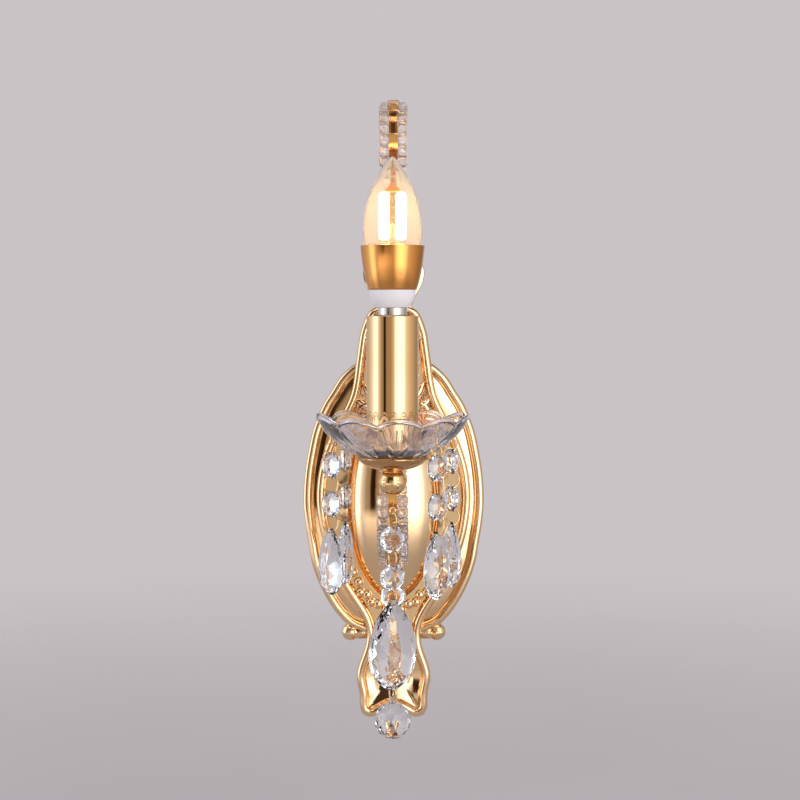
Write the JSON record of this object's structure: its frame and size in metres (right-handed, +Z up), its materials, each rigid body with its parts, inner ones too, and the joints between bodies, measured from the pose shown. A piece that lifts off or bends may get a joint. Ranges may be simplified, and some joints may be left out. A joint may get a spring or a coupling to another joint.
{
  "type": "crystal wall sconce",
  "caption": "Polished gold wall light with a curved beaded-glass arm, candle lamp in a scalloped glass dish and swinging cut crystals.",
  "frame": {"origin": "on the wall plane behind the widest place of the back plate, at the bracket's rear face", "axes": "+X to the right seen from the room, +Y into the wall, +Z up"},
  "size_m": [0.1126, 0.192, 0.3792],
  "materials": {
    "pale_gold": "polished pale gold plate",
    "warm_gold": "polished gold plate",
    "anodised_gold": "gloss gold anodised",
    "crystal": "clear cut crystal",
    "beaded_glass": "clear pressed beads",
    "dish_glass": "clear pressed glass with a faint pink-grey tint",
    "bulb_glass": "clear thin glass",
    "filament": "glowing filament",
    "white_plastic": "gloss white",
    "nickel": "nickel plate",
    "black_glass": "gloss black",
    "zinc_steel": "bright zinc plate",
    "raw_brass": "plain machined brass",
    "holder_plastic": "satin off-white",
    "terminal_plastic": "satin white",
    "lead_insulation": "matt brown"
  },
  "bodies": {
    "sconce": {"back_plate": "pale_gold", "mounting_bracket": "zinc_steel", "bracket_studs": "zinc_steel", "ball_nuts": "pale_gold", "terminal_block": "terminal_plastic", "supply_leads": "lead_insulation", "arm_band": "warm_gold", "arm_glass_left": "beaded_glass", "arm_glass_right": "beaded_glass", "binding_wire": "warm_gold", "arm_pipe": "raw_brass", "arm_rosette": "pale_gold", "pipe_nuts": "raw_brass", "ball_coupling": "warm_gold", "saucer": "warm_gold", "nipple": "raw_brass", "bobeche": "dish_glass", "dish_washer": "raw_brass", "holder_body": "holder_plastic", "holder_shell": "raw_brass", "holder_contact": "raw_brass", "chain_hooks": "warm_gold", "drop_eyelets": "warm_gold"},
    "candle_tube": {"candle_tube": "warm_gold"},
    "bulb_lift": {"bulb_contact": "black_glass"},
    "bulb": {"bulb_cap": "nickel", "bulb_skirt": "white_plastic", "bulb_collar": "anodised_gold", "bulb_glass": "bulb_glass", "bulb_filaments": "filament"},
    "chain_a_upper": {"chain_a_octagon_1": "crystal"},
    "chain_a_middle": {"chain_a_ring_1": "warm_gold", "chain_a_octagon_2": "crystal"},
    "chain_a_lower": {"chain_a_ring_2": "warm_gold", "chain_a_drop": "crystal"},
    "chain_b_upper": {"chain_b_octagon_1": "crystal"},
    "chain_b_middle": {"chain_b_ring_1": "warm_gold", "chain_b_octagon_2": "crystal"},
    "chain_b_lower": {"chain_b_ring_2": "warm_gold", "chain_b_drop": "crystal"},
    "chain_c_upper": {"chain_c_octagon_1": "crystal"},
    "chain_c_middle": {"chain_c_ring_1": "warm_gold", "chain_c_octagon_2": "crystal"},
    "chain_c_lower": {"chain_c_ring_2": "warm_gold", "chain_c_drop": "crystal"},
    "chain_d_upper": {"chain_d_octagon_1": "crystal"},
    "chain_d_middle": {"chain_d_ring_1": "warm_gold", "chain_d_octagon_2": "crystal"},
    "chain_d_lower": {"chain_d_ring_2": "warm_gold", "chain_d_drop": "crystal"},
    "centre_upper": {"centre_ring_1": "warm_gold", "centre_octagon_1": "crystal"},
    "centre_middle": {"centre_ring_2": "warm_gold", "centre_octagon_2": "crystal"},
    "centre_lower": {"centre_ring_3": "warm_gold", "centre_drop": "crystal"},
    "centre_end": {"centre_ring_4": "warm_gold", "centre_ball": "crystal"},
    "arm_crystal": {"arm_ring": "warm_gold", "arm_octagon": "crystal"}
  },
  "joints": [
    {"name": "candle_tube_slide", "type": "slide", "parent": "sconce", "child": "candle_tube", "axis": [0, 0, 1], "range_m": [0, 0.012]},
    {"name": "bulb_advance", "type": "slide", "parent": "sconce", "child": "bulb_lift", "axis": [0, 0, 1], "range_m": [0, 0.0086]},
    {"name": "bulb_turn", "type": "hinge", "parent": "bulb_lift", "child": "bulb", "pos_m": [0, -0.15, 0.1], "axis": [0, 0, 1], "range_deg": [0, 1080]},
    {"name": "chain_a_hook_swing", "type": "hinge", "parent": "sconce", "child": "chain_a_upper", "pos_m": [-0.03289, -0.16197, 0.0408], "axis": [-0.6561, 0.7547, 0], "range_deg": [-4, 15]},
    {"name": "chain_a_upper_swing", "type": "hinge", "parent": "chain_a_upper", "child": "chain_a_middle", "pos_m": [-0.03289, -0.16197, 0.0217], "axis": [-0.6561, 0.7547, 0], "range_deg": [-4, 15]},
    {"name": "chain_a_drop_swing", "type": "hinge", "parent": "chain_a_middle", "child": "chain_a_lower", "pos_m": [-0.03289, -0.16197, 0.0011], "axis": [-0.6561, 0.7547, 0], "range_deg": [-4, 15]},
    {"name": "chain_b_hook_swing", "type": "hinge", "parent": "sconce", "child": "chain_b_upper", "pos_m": [-0.02621, -0.12681, 0.0408], "axis": [0.0349, 0.9994, 0], "range_deg": [-3, 15]},
    {"name": "chain_b_upper_swing", "type": "hinge", "parent": "chain_b_upper", "child": "chain_b_middle", "pos_m": [-0.02621, -0.12681, 0.0217], "axis": [0.0349, 0.9994, 0], "range_deg": [-3, 15]},
    {"name": "chain_b_drop_swing", "type": "hinge", "parent": "chain_b_middle", "child": "chain_b_lower", "pos_m": [-0.02621, -0.12681, 0.0011], "axis": [0.0349, 0.9994, 0], "range_deg": [-3, 15]},
    {"name": "chain_c_hook_swing", "type": "hinge", "parent": "sconce", "child": "chain_c_upper", "pos_m": [0.02333, -0.17609, 0.0408], "axis": [-0.6691, -0.7431, 0], "range_deg": [-3, 15]},
    {"name": "chain_c_upper_swing", "type": "hinge", "parent": "chain_c_upper", "child": "chain_c_middle", "pos_m": [0.02333, -0.17609, 0.0217], "axis": [-0.6691, -0.7431, 0], "range_deg": [-3, 15]},
    {"name": "chain_c_drop_swing", "type": "hinge", "parent": "chain_c_middle", "child": "chain_c_lower", "pos_m": [0.02333, -0.17609, 0.0011], "axis": [-0.6691, -0.7431, 0], "range_deg": [-3, 15]},
    {"name": "chain_d_hook_swing", "type": "hinge", "parent": "sconce", "child": "chain_d_upper", "pos_m": [0.03202, -0.13588, 0.0408], "axis": [0.4067, -0.9135, 0], "range_deg": [-4, 15]},
    {"name": "chain_d_upper_swing", "type": "hinge", "parent": "chain_d_upper", "child": "chain_d_middle", "pos_m": [0.03202, -0.13588, 0.0217], "axis": [0.4067, -0.9135, 0], "range_deg": [-4, 15]},
    {"name": "chain_d_drop_swing", "type": "hinge", "parent": "chain_d_middle", "child": "chain_d_lower", "pos_m": [0.03202, -0.13588, 0.0011], "axis": [0.4067, -0.9135, 0], "range_deg": [-4, 15]},
    {"name": "centre_eyelet_swing", "type": "hinge", "parent": "sconce", "child": "centre_upper", "pos_m": [0, -0.15855, 0.0023], "axis": [-0.8988, -0.4384, 0], "range_deg": [-4, 8]},
    {"name": "centre_octagon_swing", "type": "hinge", "parent": "centre_upper", "child": "centre_middle", "pos_m": [0, -0.15855, -0.0183], "axis": [-0.8988, -0.4384, 0], "range_deg": [-4, 8]},
    {"name": "centre_drop_swing", "type": "hinge", "parent": "centre_middle", "child": "centre_lower", "pos_m": [0, -0.15855, -0.0389], "axis": [-0.8988, -0.4384, 0], "range_deg": [-4, 10]},
    {"name": "centre_ball_swing", "type": "hinge", "parent": "centre_lower", "child": "centre_end", "pos_m": [0, -0.15855, -0.0912], "axis": [-0.8988, -0.4384, 0], "range_deg": [-12, 12]},
    {"name": "arm_crystal_swing", "type": "hinge", "parent": "sconce", "child": "arm_crystal", "pos_m": [0, -0.08094, -0.0419], "axis": [-1, 0, 0], "range_deg": [-12, 12]}
  ],
  "couplings": [
    {"joint": "bulb_advance", "follows": "bulb_turn", "m_per_rad": 0.00044914}
  ]
}
